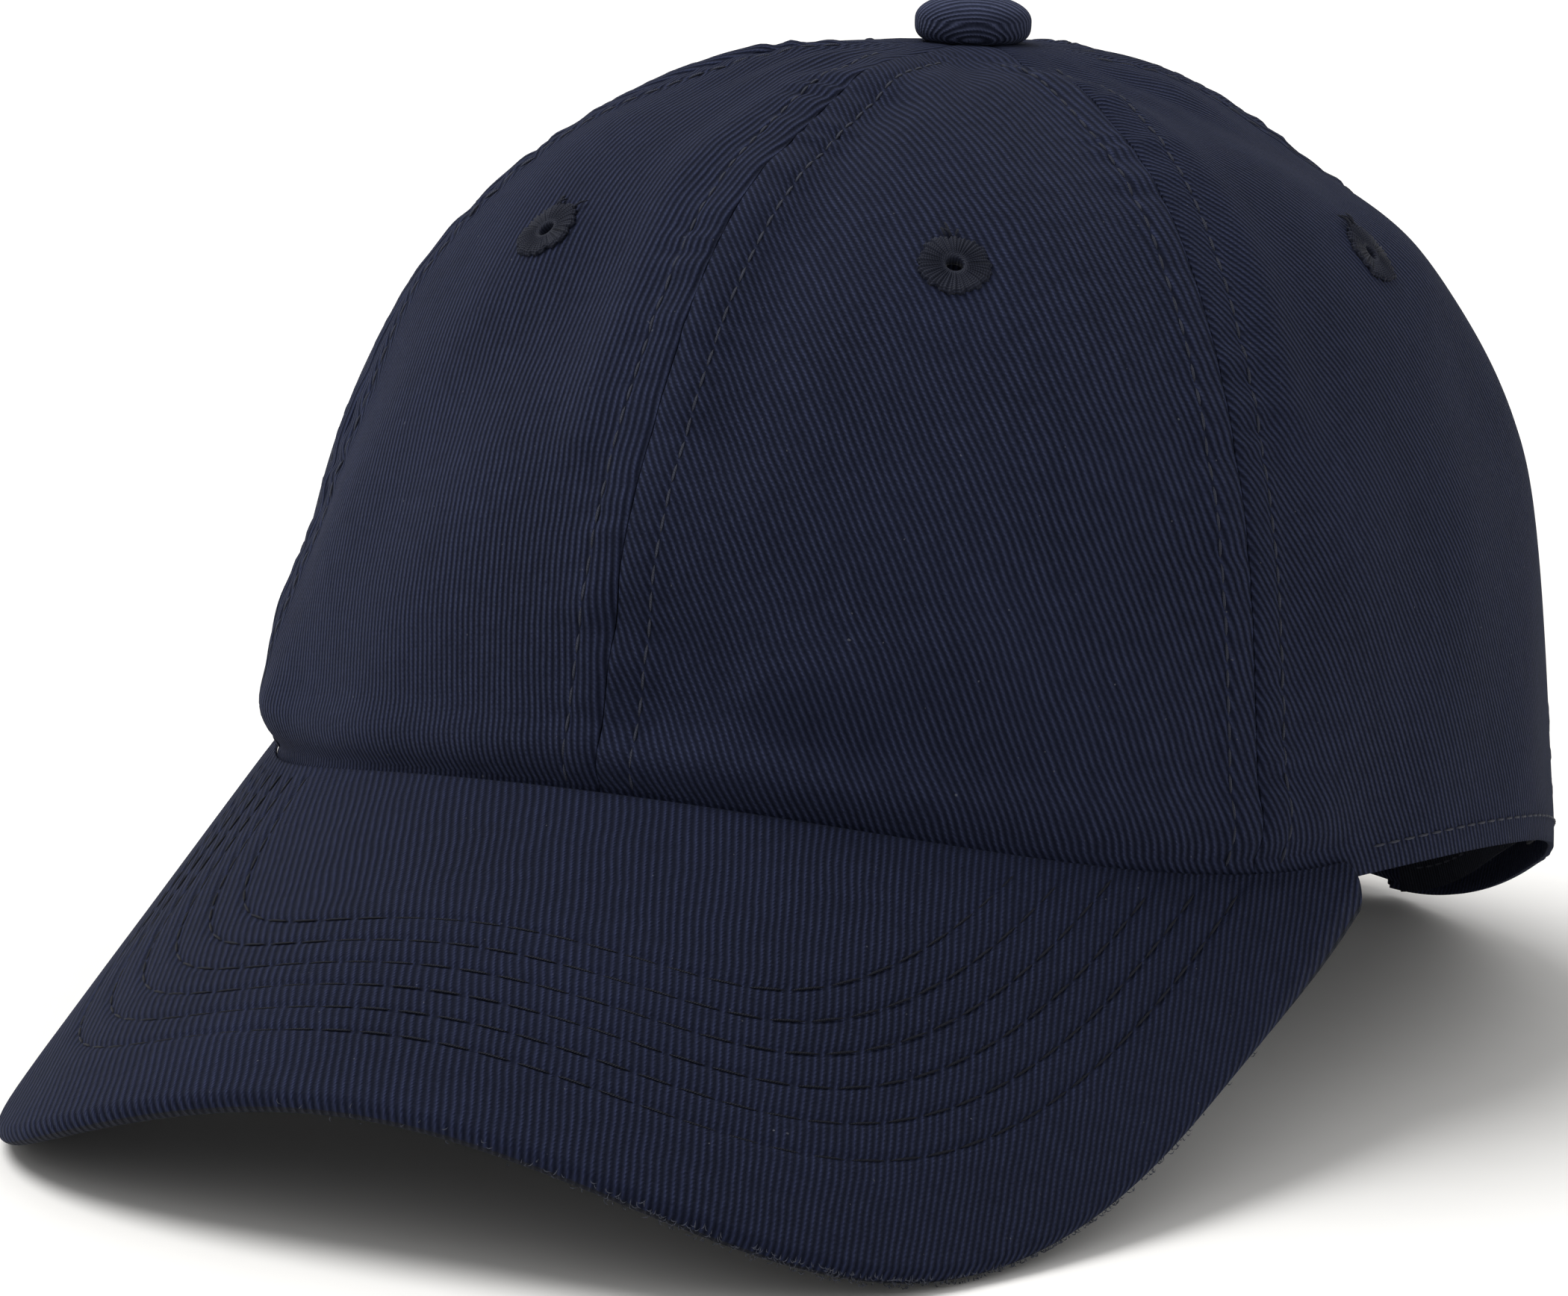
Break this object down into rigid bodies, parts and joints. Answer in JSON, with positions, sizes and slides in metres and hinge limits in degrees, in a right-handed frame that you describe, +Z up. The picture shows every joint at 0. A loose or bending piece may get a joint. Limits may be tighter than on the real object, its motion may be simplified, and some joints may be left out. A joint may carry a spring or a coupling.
{
  "type": "baseball cap",
  "caption": "Soft unstructured baseball cap with a curved stitched brim, covered top button, vent eyelets and a buckled back strap.",
  "frame": {"origin": "centre of the bottom of the cap's bounding box, on the table it stands on", "axes": "+Z up; the brim points towards -Y; the wearer's left is +X"},
  "size_m": [0.169, 0.2678, 0.1355],
  "materials": {
    "crown_twill": "washed navy cotton twill",
    "brim_twill": "washed navy cotton twill",
    "button_twill": "navy cotton twill drawn over a metal button",
    "strap_twill": "navy cotton twill, two plies, edge stitched",
    "sweatband_twill": "navy cotton twill with a padded back",
    "lining_tape": "navy cotton seam tape",
    "eyelet_thread": "navy polyester embroidery thread",
    "label_cloth": "plain woven satin label, blank",
    "brim_board": "natural polyethylene sheet",
    "button_metal": "plain pressed aluminium",
    "antique_brass": "antique brass plating, darkened in the recesses"
  },
  "bodies": {
    "cap": {"back_panel_left": "crown_twill", "back_panel_right": "crown_twill", "blank_label": "label_cloth", "brim_board": "brim_board", "brim_top_cover": "brim_twill", "brim_under_cover": "brim_twill", "buckle_frame": "antique_brass", "buckle_pin": "antique_brass", "button_core": "button_metal", "button_cover": "button_twill", "button_rivet": "button_metal", "button_washer": "button_metal", "care_label": "label_cloth", "eyelet_back_left": "eyelet_thread", "eyelet_back_right": "eyelet_thread", "eyelet_front_left": "eyelet_thread", "eyelet_front_right": "eyelet_thread", "eyelet_side_left": "eyelet_thread", "eyelet_side_right": "eyelet_thread", "front_panel_left": "crown_twill", "front_panel_right": "crown_twill", "opening_binding": "lining_tape", "seam_tape_back_left": "lining_tape", "seam_tape_back_right": "lining_tape", "seam_tape_centre_back": "lining_tape", "seam_tape_centre_front": "lining_tape", "seam_tape_front_left": "lining_tape", "seam_tape_front_right": "lining_tape", "side_panel_left": "crown_twill", "side_panel_right": "crown_twill", "strap_tab": "strap_twill", "sweatband": "sweatband_twill"},
    "strap": {"strap": "strap_twill"},
    "clasp": {"buckle_clasp": "antique_brass"}
  },
  "joints": [
    {"name": "strap_adjust", "type": "hinge", "parent": "cap", "child": "strap", "pos_m": [0, 0.06258, 0.0112], "axis": [0, 0, 1], "range_deg": [-7, 7]},
    {"name": "clasp_flip", "type": "hinge", "parent": "cap", "child": "clasp", "pos_m": [0.02447, 0.12688, 0.0112], "axis": [0, 0, -1], "range_deg": [0, 110]}
  ]
}
